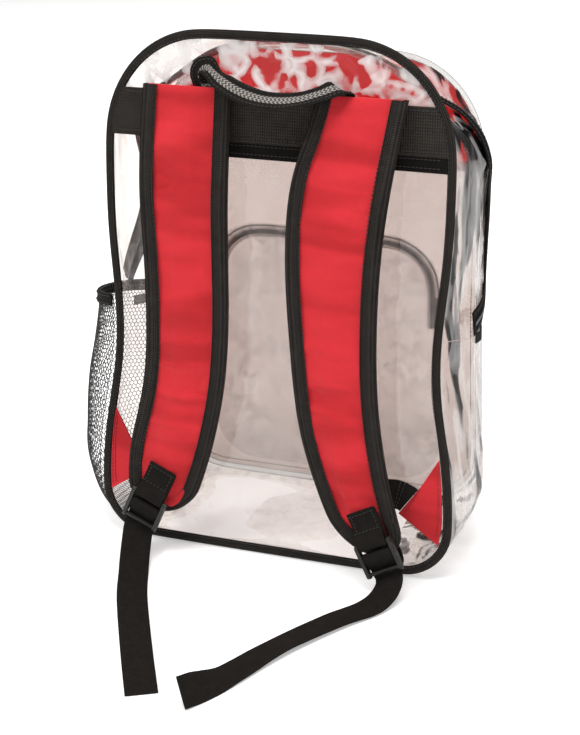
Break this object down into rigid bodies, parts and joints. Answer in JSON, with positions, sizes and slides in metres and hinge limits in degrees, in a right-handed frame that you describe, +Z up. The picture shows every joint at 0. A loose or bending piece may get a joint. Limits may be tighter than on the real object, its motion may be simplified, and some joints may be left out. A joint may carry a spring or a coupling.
{
  "type": "clear backpack",
  "caption": "Clear film backpack with a zipped main body, padded shoulder straps on ladder lock buckles, a haul handle, a clear front pocket and a net side pocket.",
  "frame": {"origin": "middle of the flat underside that the bag stands on", "axes": "+Z up; -Y towards the wearer, who stands on the strap side; +X to the right seen from the strap side"},
  "size_m": [0.355, 0.3904, 0.4333],
  "materials": {
    "clear_film": "clear flexible film, glossy",
    "grey_film": "translucent grey trim",
    "red_fabric": "plain woven red fabric",
    "black_webbing": "ribbed woven webbing",
    "black_plastic": "moulded plastic",
    "dark_metal": "dark metal",
    "black_net": "knitted net"
  },
  "bodies": {
    "root": {"gusset_lower": "clear_film", "gusset_rear": "clear_film", "gusset_front": "clear_film", "main_zip": "black_webbing", "main_zip_slider": "dark_metal", "main_zip_pull": "black_plastic", "side_seam_tape_left": "black_webbing", "side_seam_tape_right": "black_webbing", "back_panel": "clear_film", "front_panel": "clear_film", "front_yoke": "red_fabric", "front_pocket": "clear_film", "front_pocket_zip": "grey_film", "front_pocket_slider": "dark_metal", "front_pocket_pull": "black_plastic", "back_binding": "black_webbing", "front_piping": "grey_film", "yoke_band": "black_webbing", "yoke_tape": "black_webbing", "haul_handle": "black_webbing", "strap_pad_left": "red_fabric", "strap_binding_left": "black_webbing", "buckle_left": "black_plastic", "strap_tab_left": "black_webbing", "corner_tab_left": "red_fabric", "strap_tail_left": "black_webbing", "strap_pad_right": "red_fabric", "strap_binding_right": "black_webbing", "buckle_right": "black_plastic", "strap_tab_right": "black_webbing", "corner_tab_right": "red_fabric", "strap_tail_right": "black_webbing", "mesh_pocket": "black_net", "mesh_pocket_band": "black_webbing"}
  },
  "joints": []
}
